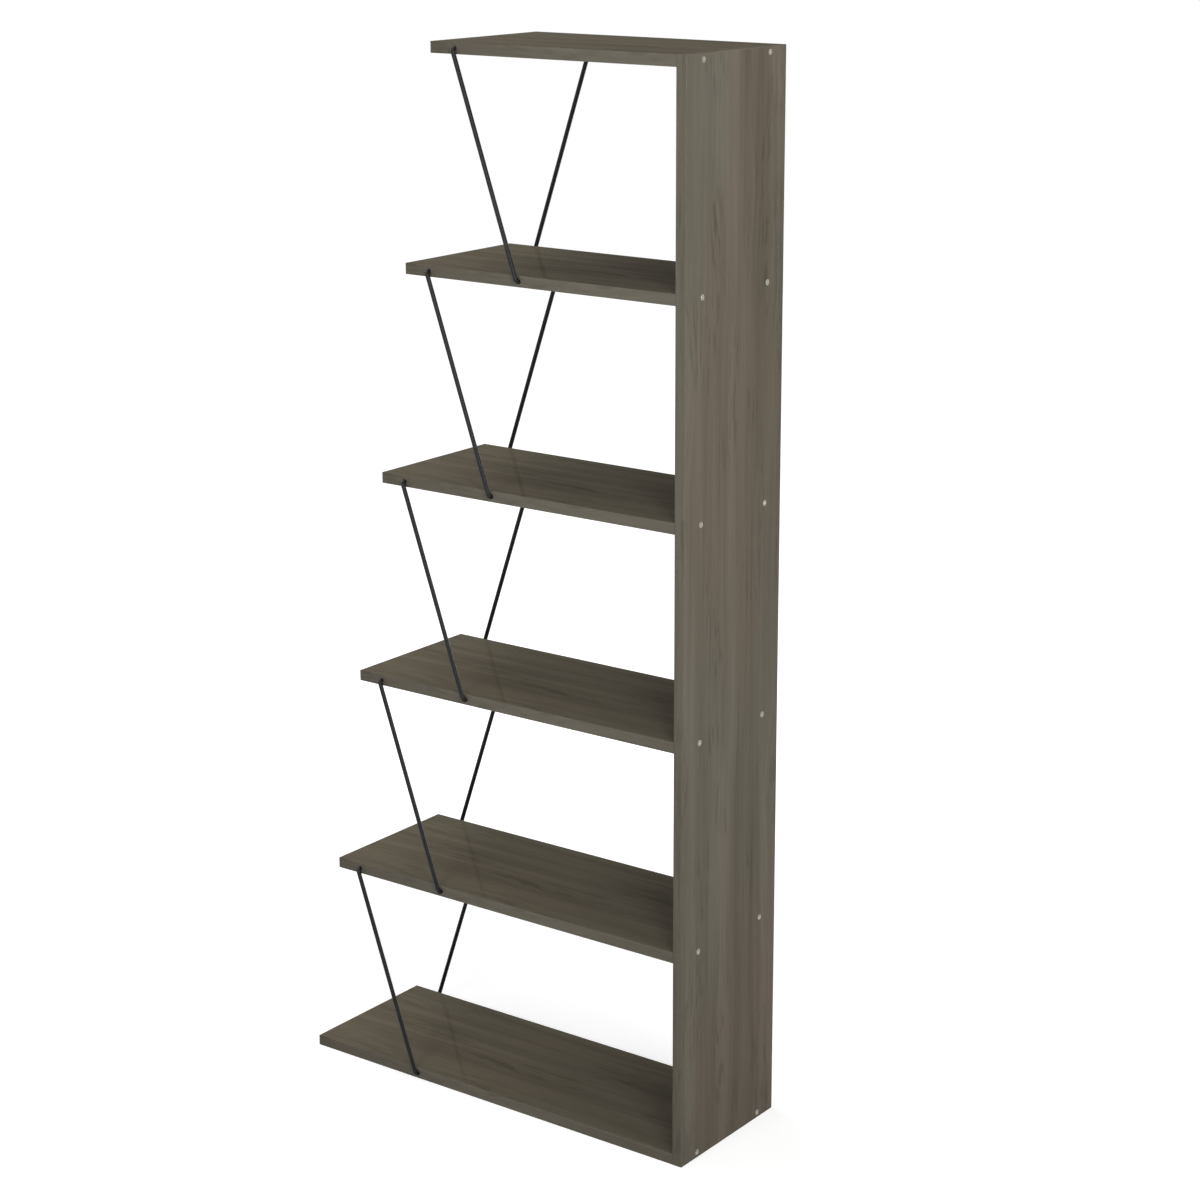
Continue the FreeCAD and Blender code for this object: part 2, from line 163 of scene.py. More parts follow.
# %% Coordinates along the grain
AXES = {"X": Vector((1, 0, 0)), "Y": Vector((0, 1, 0)), "Z": Vector((0, 0, 1))}
FACE = ("along", "across", "through")
LONG_EDGE = ("along", "through", "across")
SHORT_EDGE = ("across", "through", "along")
SHELF_START = (-5.20, -2.904, 0.0)
PANEL_START = (5.266, -2.352, 0.0)
level_margin = shelf_pitch / 3


def shelf_place(tree):
    """How far a point lies along its shelf from the left end, across the shelf, and through it."""
    place = add(tree, "ShaderNodeTexCoord", output="Object")
    parts = add(tree, "ShaderNodeSeparateXYZ", {"Vector": place}, output="X").node.outputs
    raised = calculate(tree, "ADD", parts["Z"], level_margin - shelf_low.z)
    level = calculate(tree, "FLOOR", calculate(tree, "DIVIDE", raised, shelf_pitch))
    left_end = calculate(tree, "MULTIPLY_ADD", level, shelf_step, shelf_low.x)
    along = calculate(tree, "SUBTRACT", parts["X"], left_end)
    through = calculate(tree, "MODULO", raised, shelf_pitch)
    return {"along": along, "across": parts["Y"], "through": through}


def shelf_grain(tree, order, start):
    """Coordinates of the print on a shelf or its bands: along the grain, across the face, through it."""
    place = shelf_place(tree)
    grain = add(tree, "ShaderNodeCombineXYZ", {axis: place[name] for axis, name in zip("XYZ", order)})
    return add(tree, "ShaderNodeMapping", {"Vector": grain, "Location": start})


def upright_grain(tree, along, across, start):
    """The same for the panel and its bands, with the two directions given as axes."""
    turn = Matrix((AXES[along], AXES[across], AXES[along].cross(AXES[across])))
    place = add(tree, "ShaderNodeTexCoord", output="Object")
    turned = {"Vector": place, "Rotation": turn.to_euler(), "Location": start}
    return add(tree, "ShaderNodeMapping", turned)


print("grain runs along the shelves, up the panel, and along each edge band")

# %% [markdown]
# Wood figure is long and narrow: a patch of tone may be 75 centimetres long and three wide. Noise
# that is drawn out along the grain gives such patches at every scale, from the broad tones down to
# the fibres. A slow sideways wander bends them. Here and there a pin knot, where a twig
# once grew, pushes the lines apart. Cell noise scatters the knots: it tells how far each point is
# from the nearest one and where that lies, and the lines are drawn apart in proportion. A random
# number for each knot makes it lean one way or the other and decides how strong it is. A layer of
# streaks has a length and a width, a detail, which adds finer noise, and a shift, which picks another
# stretch of the noise so that no two layers look alike.

# %% Streaks, wander and knots
WANDER = 0.008
SWAY = {"length": 0.30, "width": 0.07, "detail": 1.0, "shift": 3.1}
KNOT_SPACING = (0.52, 0.105, 1.0)
KNOT_SCATTER = 0.75
KNOT_REACH = 0.32
KNOT_PUSH = 0.65
KNOT_LEAN = 0.35
KNOT_CORE = (0.05, 0.22)
KNOT_CHANCE = (0.1, 0.6)


def streaks(tree, grain, length, width, detail, shift, roughness=0.5):
    """Noise drawn out along the grain, in patches of about this length and width."""
    scale = (1 / length, 1 / width, 1 / width)
    drawn = {"Vector": grain, "Scale": scale, "Location": (shift, shift, shift)}
    stretched = add(tree, "ShaderNodeMapping", drawn)
    noise = {"Vector": stretched, "Scale": 1.0, "Detail": detail, "Roughness": roughness}
    return add(tree, "ShaderNodeTexNoise", noise, output="Fac")


def move_across(tree, grain, distance):
    """The same coordinates, moved across the grain."""
    offset = add(tree, "ShaderNodeCombineXYZ", {"Y": distance})
    return add(tree, "ShaderNodeVectorMath", {0: grain, 1: offset}, operation="ADD")


def flowing(tree, grain):
    """Coordinates that wander and part round the knots, and how strong the knots are at each point."""
    spaced = {"Vector": grain, "Scale": [1 / spacing for spacing in KNOT_SPACING]}
    spaced = add(tree, "ShaderNodeMapping", spaced)
    scattered = {"Vector": spaced, "Scale": 1.0, "Randomness": KNOT_SCATTER}
    knot = add(tree, "ShaderNodeTexVoronoi", scattered, voronoi_dimensions="2D").node.outputs
    chance = add(tree, "ShaderNodeSeparateColor", {"Color": knot["Color"]})
    from_knot = add(tree, "ShaderNodeVectorMath", {0: spaced, 1: knot["Position"]}, operation="SUBTRACT")
    offset = add(tree, "ShaderNodeSeparateXYZ", {"Vector": from_knot}).node.outputs
    lean = calculate(tree, "MULTIPLY_ADD", chance, KNOT_LEAN, -KNOT_LEAN / 2)
    slant = calculate(tree, "MULTIPLY", offset["X"], calculate(tree, "MULTIPLY", lean, KNOT_SPACING[0]))
    apart = calculate(tree, "MULTIPLY_ADD", offset["Y"], -KNOT_PUSH * KNOT_SPACING[1], slant)
    near = fade(tree, knot["Distance"], 0.0, KNOT_REACH, low=1.0, high=0.0)
    parted = move_across(tree, grain, calculate(tree, "MULTIPLY", apart, near))
    sway = streaks(tree, grain, **SWAY)
    flow = move_across(tree, parted, calculate(tree, "MULTIPLY_ADD", sway, 2 * WANDER, -WANDER))
    core = fade(tree, knot["Distance"], *KNOT_CORE, low=1.0, high=0.0)
    return flow, calculate(tree, "MULTIPLY", core, fade(tree, chance, *KNOT_CHANCE))


print("lines wander by up to", WANDER, "m")

# %% [markdown]
# The print has a quiet palette: olive grey, a paler grey, and broad stretches that lean to brown. The
# shelves lie flat and mirror more of the white room than the panel does, which greys them, so their
# tones are written a touch browner.

# %% Tones of the print
OLIVE_TONES = (
    (0.0970, 0.0875, 0.0655, 1.0),
    (0.1155, 0.1040, 0.0793, 1.0),
    (0.1360, 0.1235, 0.0968, 1.0),
)
TAN_TONES = (
    (0.0980, 0.0860, 0.0600, 1.0),
    (0.1170, 0.1020, 0.0725, 1.0),
    (0.1380, 0.1210, 0.0885, 1.0),
)
TONE_STOPS = (0.30, 0.50, 0.70)
BROAD_TONES = {"length": 0.75, "width": 0.032, "detail": 2.5, "roughness": 0.45, "shift": 0.7}
WARM_PATCHES = {"length": 0.50, "width": 0.16, "detail": 1.5, "shift": 2.95}
WARM_EDGE = (0.40, 0.60)
WARM_TINT = (1.055, 0.965, 0.965, 1.0)


def tone_ramp(tree, source, stops):
    """Colour that runs through the given stops as the source goes up."""
    output = add(tree, "ShaderNodeValToRGB", {"Fac": source}, output="Color")
    ramp = output.node.color_ramp
    ramp.interpolation = "EASE"
    while len(ramp.elements) < len(stops):
        ramp.elements.new(1.0)
    for element, (position, colour) in zip(ramp.elements, stops):
        element.position = position
        element.color = colour
    return output


def oak_tones(tree, flow, tones, warmth):
    """Broad tones of the print, with stretches that are warmer by the given share."""
    broad = streaks(tree, flow, **BROAD_TONES)
    ground = tone_ramp(tree, broad, tuple(zip(TONE_STOPS, tones)))
    patches = streaks(tree, flow, **WARM_PATCHES)
    warm = {"Factor": fade(tree, patches, *WARM_EDGE, high=warmth), 6: ground, 7: WARM_TINT}
    return add(tree, "ShaderNodeMix", warm, output=2, data_type="RGBA", blend_type="MULTIPLY")


print("tones", len(OLIVE_TONES) + len(TAN_TONES))

# %% [markdown]
# Over the tones lie soft growth lines, short dark flecks that gather at the knots and in a few other
# places, and fibres and pores that only show close by. Growth lines come from a smooth noise that is
# folded to and fro, which draws contour lines like those of a map. An edge is the pair of values
# between which a layer fades in, and a strength says how much it lightens or darkens the print. The
# pores also dent the resin a little, because the press plate is embossed.

# %% Figure of the print
MIDDLE_STREAKS = {"length": 0.30, "width": 0.009, "detail": 3.0, "roughness": 0.6, "shift": 5.2}
GROWTH = {"length": 0.80, "width": 0.011, "detail": 0.0, "shift": 1.9}
GROWTH_FOLD = 0.08
GROWTH_EDGE = (0.0, 0.03)
FIBRES = {"length": 0.10, "width": 0.0010, "detail": 2.0, "shift": 2.4}
CLUSTERS = {"length": 0.16, "width": 0.040, "detail": 1.0, "shift": 9.4}
CLUSTER_EDGE = (0.48, 0.62)
CLUSTER_STRENGTH = 0.7
STROKES = {"length": 0.040, "width": 0.0042, "detail": 1.5, "shift": 6.8}
STROKE_EDGE = (0.46, 0.64)
PORES = {"length": 0.014, "width": 0.00045, "detail": 1.0, "shift": 7.7}
PORE_EDGE = (0.60, 0.72)
GROUND_SHADE = 0.765
STRENGTHS = {"middle": 0.42, "lines": 0.05, "fibres": 0.16, "flecks": -0.26, "pores": -0.10}
FLAT_RELIEF = 0.5
FIBRE_RELIEF = 0.5
PORE_RELIEF = -0.6


def oak_shade(tree, grain, flow, knots):
    """Light and dark of the finer figure, about 1, and the depth of its embossing."""
    growth = calculate(tree, "PINGPONG", streaks(tree, flow, **GROWTH), GROWTH_FOLD)
    clusters = fade(tree, streaks(tree, flow, **CLUSTERS), *CLUSTER_EDGE, high=CLUSTER_STRENGTH)
    gathered = calculate(tree, "MAXIMUM", knots, clusters)
    strokes = fade(tree, streaks(tree, flow, **STROKES), *STROKE_EDGE)
    layers = {
        "middle": streaks(tree, flow, **MIDDLE_STREAKS),
        "lines": fade(tree, growth, *GROWTH_EDGE),
        "fibres": streaks(tree, grain, **FIBRES),
        "flecks": calculate(tree, "MULTIPLY", gathered, strokes),
        "pores": fade(tree, streaks(tree, grain, **PORES), *PORE_EDGE),
    }
    shade = GROUND_SHADE
    for name, strength in STRENGTHS.items():
        shade = calculate(tree, "MULTIPLY_ADD", layers[name], strength, shade)
    relief = calculate(tree, "MULTIPLY_ADD", layers["fibres"], FIBRE_RELIEF, FLAT_RELIEF)
    dents = calculate(tree, "MULTIPLY_ADD", layers["pores"], PORE_RELIEF, relief)
    return shade, dents


def oak_print(tree, grain, tones, warmth):
    """Colour of the printed oak and the depth of its embossing."""
    flow, knots = flowing(tree, grain)
    shade, dents = oak_shade(tree, grain, flow, knots)
    scaled = {0: oak_tones(tree, flow, tones, warmth), "Scale": shade}
    return add(tree, "ShaderNodeVectorMath", scaled, operation="SCALE"), dents


print("layers of the figure", len(STRENGTHS))

# %% [markdown]
# Under the facing the board is chipboard: pale flakes pressed in glue. It only shows inside the
# drilled holes and on the panel's bare bottom edge. A board's large faces are told from the rest
# by the direction that they look in, so the same material covers both.

# %% Chipboard core
FLAKE_DARK = (0.20, 0.125, 0.060, 1.0)
FLAKE = (0.36, 0.245, 0.130, 1.0)
FLAKE_PALE = (0.52, 0.390, 0.230, 1.0)
FLAKE_TONES = ((0.10, FLAKE_DARK), (0.45, FLAKE), (0.90, FLAKE_PALE))
FLAKE_SIZE = 0.0022
SQUARE_ON = 0.9


def chipboard(tree):
    """Colour of the pressed flakes and their height."""
    place = add(tree, "ShaderNodeTexCoord", output="Object")
    cells = {"Vector": place, "Scale": 1 / FLAKE_SIZE, "Randomness": 1.0}
    flakes = add(tree, "ShaderNodeTexVoronoi", cells, output="Color")
    tone = add(tree, "ShaderNodeSeparateColor", {"Color": flakes})
    return tone_ramp(tree, tone, FLAKE_TONES), tone


def large_face(tree, axis):
    """1 on the faces that look along the named axis, 0 elsewhere."""
    facing = add(tree, "ShaderNodeTexCoord", output="Normal")
    part = add(tree, "ShaderNodeSeparateXYZ", {"Vector": facing}, output=axis)
    return calculate(tree, "GREATER_THAN", calculate(tree, "ABSOLUTE", part), SQUARE_ON)


print("flakes about", FLAKE_SIZE, "m")

# %% [markdown]
# The resin over the print is a thin, clear film. It shows a faint ghost of the rear rods that stand
# on it, on the low shelves as well as on the high ones. Resin of the real index, about 1.5, would
# reflect far more at a flat angle than at a steep one, so the film gets a higher index and a small
# weight, which keeps the ghost even. The paper under it is matt, and roughest in the pores.

# %% Board finish
SATIN = 0.45
SATIN_SPREAD = 0.10
CORE_ROUGHNESS = 0.9
RESIN_COAT = 0.030
RESIN_INDEX = 3.0
RESIN_ROUGHNESS = 0.05
EMBOSSING = 0.00012
BOARD_BUMP = 0.6
SHELF_WARMTH = 0.35
PANEL_WARMTH = 0.9


def coat_with_resin(shader):
    """Matt paper under a thin clear film, which alone gives the gloss."""
    shader.inputs["Specular IOR Level"].default_value = 0.0
    shader.inputs["Coat Weight"].default_value = RESIN_COAT
    shader.inputs["Coat IOR"].default_value = RESIN_INDEX
    shader.inputs["Coat Roughness"].default_value = RESIN_ROUGHNESS


def finish_board(name, axis, tones, warmth, coordinates, *placed):
    """Material of a board: oak print on its large faces, chipboard on the rest."""
    material, tree, shader = start_material(name)
    colour, dents = oak_print(tree, coordinates(tree, *placed), tones, warmth)
    flakes, heights = chipboard(tree)
    face = large_face(tree, axis)
    mixed = {"Factor": face, 6: flakes, 7: colour}
    surface = add(tree, "ShaderNodeMix", mixed, output=2, data_type="RGBA")
    relief = add(tree, "ShaderNodeMix", {"Factor": face, 2: heights, 3: dents}, data_type="FLOAT")
    satin = calculate(tree, "MULTIPLY_ADD", dents, -SATIN_SPREAD, SATIN + SATIN_SPREAD / 2)
    rough = add(tree, "ShaderNodeMix", {"Factor": face, 2: CORE_ROUGHNESS, 3: satin}, data_type="FLOAT")
    bump = add(tree, "ShaderNodeBump", {"Height": relief, "Distance": EMBOSSING, "Strength": BOARD_BUMP})
    tree.links.new(surface, shader.inputs["Base Color"])
    tree.links.new(rough, shader.inputs["Roughness"])
    tree.links.new(bump, shader.inputs["Normal"])
    coat_with_resin(shader)
    return material


def dress(node, material):
    """Give a node's object one material."""
    piece = nodes[node]
    if not piece.material_slots:
        piece.data.materials.append(None)
    for slot in piece.material_slots:
        slot.material = material


shelf_finish = finish_board(
    "oak_print_shelves", "Z", TAN_TONES, SHELF_WARMTH, shelf_grain, FACE, SHELF_START)
panel_finish = finish_board(
    "oak_print_panel", "X", OLIVE_TONES, PANEL_WARMTH, upright_grain, "Z", "Y", PANEL_START)
for shelf in SHELVES:
    dress(shelf, shelf_finish)
dress("side_panel", panel_finish)
print("boards finished", len(SHELVES) + 1)

# %% [markdown]
# Each narrow face that shows carries a strip of printed plastic, glued on and trimmed with a small
# radius. The strip has the panel's colours, but it comes off its own roll, so its figure doesn't
# line up with a board's, and its grain always runs along the strip.

# %% Edge bands
BAND_SATIN = 0.40
BAND_START = (0.37, 0.21, 0.13)
BAND_WARMTH = 0.3
BAND_BUMP = 0.4


def finish_band(name, coordinates, *placed):
    """Material of the edge bands whose print is placed in this way."""
    material, tree, shader = start_material(name)
    colour, dents = oak_print(tree, coordinates(tree, *placed, BAND_START), OLIVE_TONES, BAND_WARMTH)
    satin = calculate(tree, "MULTIPLY_ADD", dents, -SATIN_SPREAD, BAND_SATIN + SATIN_SPREAD / 2)
    bump = add(tree, "ShaderNodeBump", {"Height": dents, "Distance": EMBOSSING, "Strength": BAND_BUMP})
    tree.links.new(colour, shader.inputs["Base Color"])
    tree.links.new(satin, shader.inputs["Roughness"])
    tree.links.new(bump, shader.inputs["Normal"])
    coat_with_resin(shader)
    return material


long_band = finish_band("edge_band_long", shelf_grain, LONG_EDGE)
short_band = finish_band("edge_band_short", shelf_grain, SHORT_EDGE)
upright_band = finish_band("edge_band_upright", upright_grain, "Z", "X")
top_band = finish_band("edge_band_top", upright_grain, "Y", "X")
for shelf in SHELVES:
    dress(f"{shelf}_front_band", long_band)
    dress(f"{shelf}_rear_band", long_band)
    dress(f"{shelf}_end_band", short_band)
dress("side_panel_front_band", upright_band)
dress("side_panel_rear_band", upright_band)
dress("side_panel_top_band", top_band)
print("edge bands finished", 3 * (len(SHELVES) + 1))

# %% [markdown]
# The rods are round steel, bent at both ends and powder coated black. The powder melts into a skin
# with a very fine orange peel: low bumps about half a millimetre apart. A little unevenness in the
# gloss keeps the long highlights from looking like plastic.

# %% Powder-coated rods
POWDER_BLACK = (0.0095, 0.0095, 0.0100, 1.0)
POWDER_GREY = (0.0140, 0.0140, 0.0145, 1.0)
POWDER_TONES = ((0.35, POWDER_BLACK), (0.65, POWDER_GREY))
POWDER_GLOSS = 0.15
POWDER_ROUGHNESS = 0.34
POWDER_SPREAD = 0.16
PEEL_SIZE = 0.0006
PEEL_HEIGHT = 0.00003
PEEL_BUMP = 0.5
CLOUD_SIZE = 0.020


def finish_rods():
    """Material of the powder-coated rods."""
    material, tree, shader = start_material("powder_coat_black")
    place = add(tree, "ShaderNodeTexCoord", output="Object")
    peel = add(tree, "ShaderNodeTexNoise", {"Vector": place, "Scale": 1 / PEEL_SIZE, "Detail": 1.0})
    cloud = add(tree, "ShaderNodeTexNoise", {"Vector": place, "Scale": 1 / CLOUD_SIZE, "Detail": 2.0})
    colour = tone_ramp(tree, cloud, POWDER_TONES)
    rough = calculate(tree, "MULTIPLY_ADD", cloud, POWDER_SPREAD, POWDER_ROUGHNESS)
    bump = add(tree, "ShaderNodeBump", {"Height": peel, "Distance": PEEL_HEIGHT, "Strength": PEEL_BUMP})
    tree.links.new(colour, shader.inputs["Base Color"])
    tree.links.new(rough, shader.inputs["Roughness"])
    tree.links.new(bump, shader.inputs["Normal"])
    shader.inputs["Specular IOR Level"].default_value = POWDER_GLOSS
    return material


rod_finish = finish_rods()
rods = [name for name in nodes if "_rod_" in name]
for rod in rods:
    dress(rod, rod_finish)
print("rods finished", len(rods))

# %% [markdown]
# Twelve screws hold the shelves to the panel. Each is one piece of steel: a flat countersunk head
# with a hexagon socket, a plain shoulder in the panel, and a coarse thread that cuts its own way
# into the chipboard. On a lathe such a screw is a profile turned about its axis, and spin does the
# same here. The ring of points round the socket is then drawn in to a hexagon.

# %% Screw sizes
screws_low, screws_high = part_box("panel_screws")
HEAD_RADIUS = 0.0040
SHANK_RADIUS = 0.0025
CORE_RADIUS = 0.0018
TIP_RADIUS = 0.0011
TIP_LENGTH = 0.0040
SOCKET_WIDTH = 0.0030
SOCKET_DEPTH = 0.0022
MOUTH_CHAMFER = 0.00025
DRILL_POINT = 0.0005
HEAD_HEIGHT = HEAD_RADIUS - SHANK_RADIUS
HEAD_RIM = 0.00025
RIM_SEGMENTS = 3
TURNING_STEPS = 48
SAME_POINT = 1e-7
SAME_RADIUS = 1e-6
screw_length = screws_high.x - screws_low.x
panel_thickness = panel_high.x - panel_low.x
print("screw length", round(screw_length, 4))

# %% Turned screw
def hexagon_radius(angle):
    """Distance from the axis to the socket's wall in the given direction."""
    from_flat = (angle % (math.pi / 3)) - math.pi / 6
    return SOCKET_WIDTH / 2 / math.cos(from_flat)


def from_axis(vertex):
    """A point's distance from the screw's axis."""
    return math.hypot(vertex.co.y, vertex.co.z)


def on_rim(vertex):
    """True on the outer edge of the head's flat face."""
    return abs(vertex.co.x) < SAME_POINT and abs(from_axis(vertex) - HEAD_RADIUS) < SAME_RADIUS


def turn_screw(bm):
    """Screw along -X with its head's face at the origin, turned from its profile."""
    corner = SOCKET_WIDTH / math.sqrt(3)
    profile = (
        (0.0, SOCKET_DEPTH + DRILL_POINT),
        (corner, SOCKET_DEPTH),
        (corner, MOUTH_CHAMFER),
        (corner + MOUTH_CHAMFER, 0.0),
        (HEAD_RADIUS, 0.0),
        (SHANK_RADIUS, HEAD_HEIGHT),
        (SHANK_RADIUS, panel_thickness),
        (CORE_RADIUS, panel_thickness),
        (CORE_RADIUS, screw_length - TIP_LENGTH),
        (TIP_RADIUS, screw_length),
        (0.0, screw_length),
    )
    points = [bm.verts.new((-depth, 0.0, radius)) for radius, depth in profile]
    edges = [bm.edges.new(pair) for pair in zip(points, points[1:])]
    bmesh.ops.spin(
        bm, geom=points + edges, cent=(0, 0, 0), axis=(1, 0, 0), angle=2 * math.pi,
        steps=TURNING_STEPS, use_merge=True,
    )
    bmesh.ops.remove_doubles(bm, verts=bm.verts, dist=SAME_POINT)
    for vertex in bm.verts:
        radius = from_axis(vertex)
        if abs(radius - corner) < SAME_RADIUS:
            wall = hexagon_radius(math.atan2(vertex.co.z, vertex.co.y)) / radius
            vertex.co.y *= wall
            vertex.co.z *= wall
    rim = [edge for edge in bm.edges if all(on_rim(vertex) for vertex in edge.verts)]
    bmesh.ops.bevel(
        bm, geom=rim, offset=HEAD_RIM, affect="EDGES", segments=RIM_SEGMENTS, profile=0.5, material=-1)
    bmesh.ops.recalc_face_normals(bm, faces=bm.faces)


screw_shape = bmesh.new()
turn_screw(screw_shape)
print("turned faces", len(screw_shape.faces))

# %% [markdown]
# The thread is a three-sided ridge that climbs round the core. Spin makes it too: besides turning
# the ridge's section about the axis, it can move it a little along the axis at every step, which
# is a helix. The ridge is a closed solid of its own that sits slightly inside the core.

# %% Thread
THREAD_PITCH = 0.0028
THREAD_RADIUS = 0.0025
THREAD_FOOT = 0.0011
THREAD_STEPS = 24
SUNK = 0.0002


def cut_thread(bm):
    """Helical ridge round the threaded end of a screw."""
    start = panel_thickness + THREAD_PITCH
    turns = int((screw_length - TIP_LENGTH - start) / THREAD_PITCH)
    section = (
        (CORE_RADIUS - SUNK, start - THREAD_FOOT / 2),
        (THREAD_RADIUS, start),
        (CORE_RADIUS - SUNK, start + THREAD_FOOT / 2),
    )
    ridge = bm.faces.new([bm.verts.new((-depth, 0.0, radius)) for radius, depth in section])
    climb = (-THREAD_PITCH / THREAD_STEPS, 0, 0)
    bmesh.ops.spin(
        bm, geom=[ridge, *ridge.edges, *ridge.verts], cent=(0, 0, 0), axis=(1, 0, 0), dvec=climb,
        angle=2 * math.pi * turns, steps=THREAD_STEPS * turns,
    )
    bmesh.ops.recalc_face_normals(bm, faces=bm.faces)
    return turns


thread_shape = bmesh.new()
print("thread turns", cut_thread(thread_shape))
shapes = (screw_shape, thread_shape)
open_edges = [edge for shape in shapes for edge in shape.edges if not edge.is_manifold]
print("screw faces", sum(len(shape.faces) for shape in shapes), "open edges", len(open_edges))

# %% [markdown]
# One screw goes to each of the twelve holes. A screw stops wherever it is tight, so each copy is
# turned by another angle. A map on the surface keeps the distance from the axis and along it:
# the turning marks of the lathe follow that map as fine rings.

# %% Twelve screws
SCREW_TURN = math.radians(137.5)


def mark_turning(bm):
    """Surface map that holds each corner's distance from the screw's axis and along it."""
    turning = bm.loops.layers.uv.new("turning")
    for face in bm.faces:
        face.smooth = True
        for loop in face.loops:
            loop[turning].uv = (from_axis(loop.vert), -loop.vert.co.x)


thread_mesh = bpy.data.meshes.new("one_thread")
thread_shape.to_mesh(thread_mesh)
screw_shape.from_mesh(thread_mesh)
mark_turning(screw_shape)
screw_mesh = bpy.data.meshes.new("one_screw")
screw_shape.to_mesh(screw_mesh)

row_heights = [sum(corner.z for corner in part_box(shelf)) / 2 for shelf in SHELVES]
row_setback = screws_high.y - HEAD_RADIUS
holes = [(screws_high.x, side, height) for height in row_heights for side in (-row_setback, row_setback)]
group = bmesh.new()
for number, hole in enumerate(holes):
    before = len(group.verts)
    group.from_mesh(screw_mesh)
    group.verts.ensure_lookup_table()
    placed = Matrix.Translation(hole) @ Matrix.Rotation(number * SCREW_TURN, 4, "X")
    bmesh.ops.transform(group, matrix=placed, verts=group.verts[before:])
screws_mesh = bpy.data.meshes.new("panel_screws_turned")
group.to_mesh(screws_mesh)
screws = bpy.data.objects.new("panel_screws_turned", screws_mesh)
bpy.context.scene.collection.objects.link(screws)
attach(screws, "root")
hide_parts("panel_screws")
print("screws", len(holes), "faces", len(screws_mesh.polygons))

# %% [markdown]
# The steel is zinc plated: a warm, slightly cloudy grey with little shine. Plating dulls the rings
# that the lathe left, so they are faint, and they spread the highlight more in one direction than
# the other.

# %% Zinc plating
ZINC = (0.32, 0.31, 0.268, 1.0)
ZINC_DULL = (0.25, 0.242, 0.21, 1.0)
ZINC_TONES = ((0.30, ZINC_DULL), (0.70, ZINC))
ZINC_ROUGHNESS = 0.44
ZINC_SPREAD = 0.18
CLOUDS_PER_METRE = 900.0
RING_WIDTH = 0.00012
RING_DEPTH = 0.000006
RING_BUMP = 0.5


def finish_screws():
    """Material of the zinc-plated screws."""
    material, tree, shader = start_material("zinc_plating")
    turning = add(tree, "ShaderNodeUVMap", uv_map="turning")
    rings = add(tree, "ShaderNodeTexNoise", {"Vector": turning, "Scale": 1 / RING_WIDTH, "Detail": 2.0})
    place = add(tree, "ShaderNodeTexCoord", output="Object")
    cloud = add(tree, "ShaderNodeTexNoise", {"Vector": place, "Scale": CLOUDS_PER_METRE, "Detail": 3.0})
    colour = tone_ramp(tree, cloud, ZINC_TONES)
    rough = calculate(tree, "MULTIPLY_ADD", cloud, ZINC_SPREAD, ZINC_ROUGHNESS)
    bump = add(tree, "ShaderNodeBump", {"Height": rings, "Distance": RING_DEPTH, "Strength": RING_BUMP})
    tree.links.new(colour, shader.inputs["Base Color"])
    tree.links.new(rough, shader.inputs["Roughness"])
    tree.links.new(bump, shader.inputs["Normal"])
    shader.inputs["Metallic"].default_value = 1.0
    return material


screws_mesh.materials.append(finish_screws())
print("screws plated")

# %% [markdown]
# The floor is plain and pale. It is a matt surface that takes the object's shadow and sends some
# light back up. For the camera and in reflections it also glows, just enough to be white where no
# shadow lies, and further out it is pure white, so that no horizon shows.

# %% Floor
FLOOR_SIZE = 12.0
FLOOR_GAP = 0.0003
FLOOR_GREY = (0.60, 0.60, 0.60, 1.0)
FLOOR_GLOW = 0.60
SHADOW_REACH = (0.5, 1.6)


def seen_directly(tree):
    """1 for rays from the camera and in reflections and glass, 0 for the light that falls on things."""
    path = add(tree, "ShaderNodeLightPath", output="Is Camera Ray").node.outputs
    seen = calculate(tree, "MAXIMUM", path["Is Camera Ray"], path["Is Glossy Ray"])
    return calculate(tree, "MAXIMUM", seen, path["Is Transmission Ray"])


def finish_floor():
    """Material of the floor: matt and pale, with a glow that makes it white to the camera."""
    material, tree, shader = start_material("pale_floor")
    place = add(tree, "ShaderNodeTexCoord", output="Object")
    away = add(tree, "ShaderNodeVectorMath", {0: place}, output="Value", operation="LENGTH")
    glow = fade(tree, away, *SHADOW_REACH, low=FLOOR_GLOW, high=1.0)
    strength = calculate(tree, "MULTIPLY", glow, seen_directly(tree))
    white = add(tree, "ShaderNodeEmission", {"Color": (1, 1, 1, 1), "Strength": strength})
    both = add(tree, "ShaderNodeAddShader", {0: shader.outputs["BSDF"], 1: white})
    tree.links.new(both, tree.nodes["Material Output"].inputs["Surface"])
    shader.inputs["Base Color"].default_value = FLOOR_GREY
    shader.inputs["Roughness"].default_value = 1.0
    shader.inputs["Specular IOR Level"].default_value = 0.0
    return material


floor_shape = bmesh.new()
bmesh.ops.create_grid(floor_shape, x_segments=1, y_segments=1, size=FLOOR_SIZE / 2)
bmesh.ops.translate(floor_shape, verts=floor_shape.verts, vec=(0, 0, low.z - FLOOR_GAP))
floor_mesh = bpy.data.meshes.new("floor")
floor_shape.to_mesh(floor_mesh)
floor_mesh.materials.append(finish_floor())
floor = bpy.data.objects.new("floor", floor_mesh)
bpy.context.scene.collection.objects.link(floor)
print("floor", FLOOR_SIZE, "m")

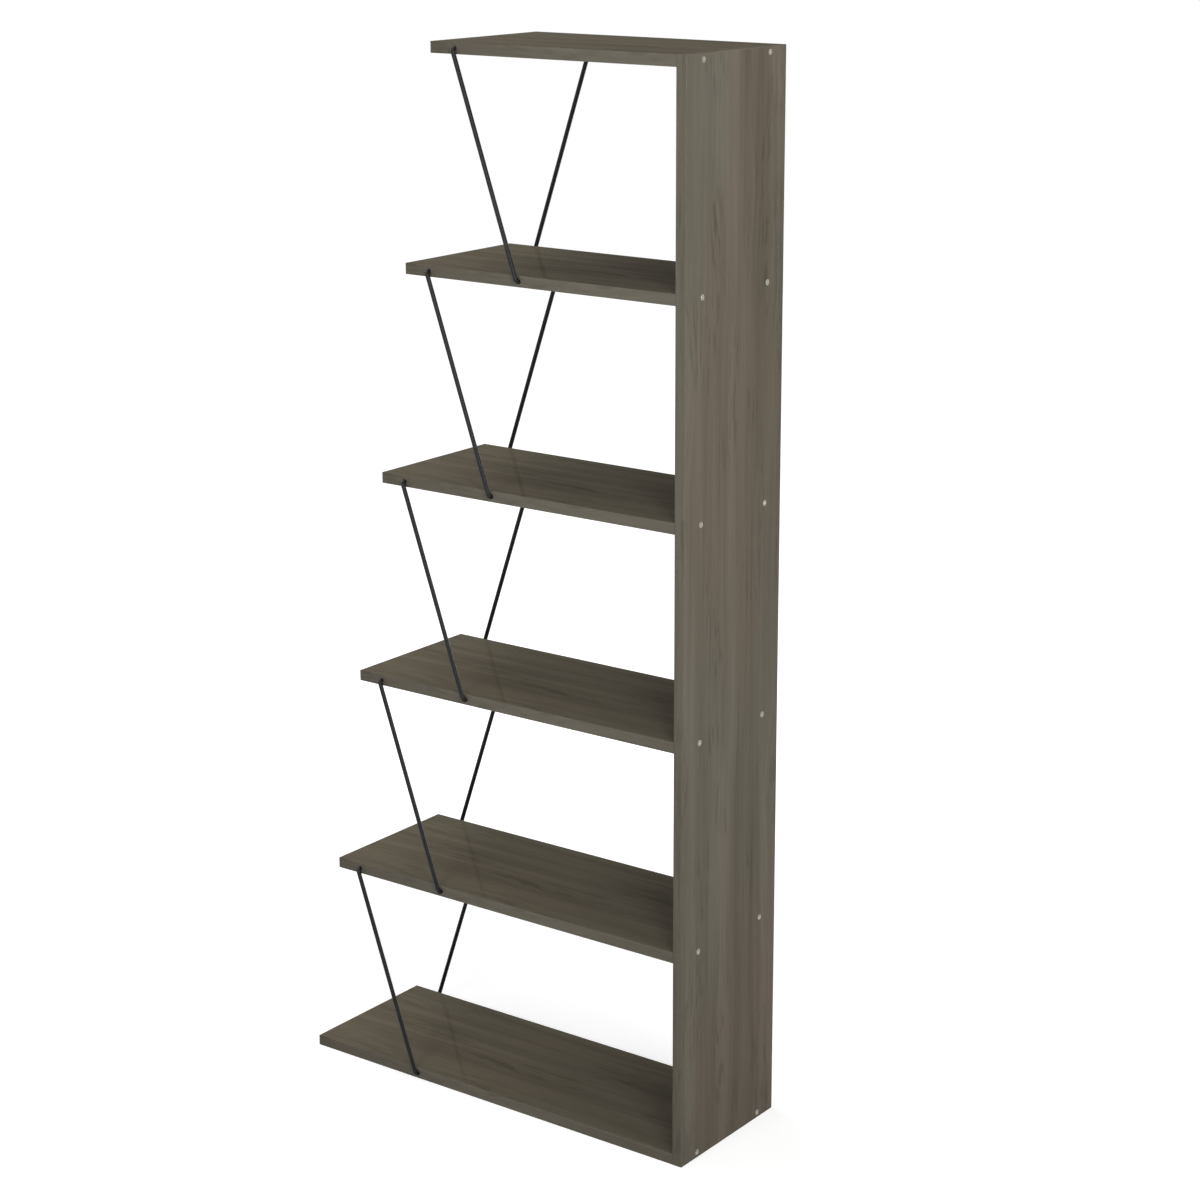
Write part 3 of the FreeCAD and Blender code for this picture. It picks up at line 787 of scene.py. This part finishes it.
# %% [markdown]
# The light is that of a plain studio. The room is white to the camera and in reflections, and gives
# the object a weak, even base light. Soft round lamps do the rest: three smaller ones on the
# camera's side, two larger ones further away, on the left and overhead, and one behind. The lamp on
# the left reaches the free ends of the shelves and leaves the corners beside the panel darker, which
# shows how deep the shelves are. The one behind hangs low, so it lights the rear edges and the
# undersides but hardly touches the tops.

# %% Room
ROOM_LIGHT = 0.08

world = bpy.data.worlds.new("pale_room")
world.use_nodes = True
room = world.node_tree
background = room.nodes["Background"]
background.inputs["Color"].default_value = (1, 1, 1, 1)
seen = seen_directly(room)
strength = add(room, "ShaderNodeMix", {"Factor": seen, 2: ROOM_LIGHT, 3: 1.0}, data_type="FLOAT")
room.links.new(strength, background.inputs["Strength"])
bpy.context.scene.world = world
print("room light", ROOM_LIGHT)

# %% Lamps
NEAR_SIZE = 1.0
FAR_SIZE = 2.0
NEAR_AIM = (0.1, 0.0, 1.3)
FAR_AIM = (0.0, 0.0, 0.9)
LAMPS = (
    ("front_lamp", 21.0, NEAR_SIZE, (0.2, -2.4, 1.5), NEAR_AIM),
    ("right_lamp", 32.0, NEAR_SIZE, (2.6, -0.4, 1.5), NEAR_AIM),
    ("corner_lamp", 30.0, NEAR_SIZE, (2.0, -1.6, 2.1), NEAR_AIM),
    ("left_lamp", 44.0, FAR_SIZE, (-3.2, 0.0, 2.4), FAR_AIM),
    ("top_lamp", 37.0, FAR_SIZE, (-0.8, 0.0, 3.9), FAR_AIM),
    ("rear_lamp", 21.0, NEAR_SIZE, (0.4, 2.8, 0.5), FAR_AIM),
)


def hang_lamp(name, power, size, place, aim):
    """Soft round lamp at a place, turned towards the point that it aims at."""
    data = bpy.data.lights.new(name, "AREA")
    data.shape = "DISK"
    data.size = size
    data.energy = power
    lamp = bpy.data.objects.new(name, data)
    lamp.location = place
    lamp.rotation_euler = (Vector(aim) - Vector(place)).to_track_quat("-Z", "Y").to_euler()
    lamp.visible_camera = False
    bpy.context.scene.collection.objects.link(lamp)
    print(name, power, "W")


for row in LAMPS:
    hang_lamp(*row)

# %% [markdown]
# The view is shown as plain colour, with no film look, so that each colour appears about as it was
# written.

# %% View
bpy.context.scene.view_settings.view_transform = "Standard"
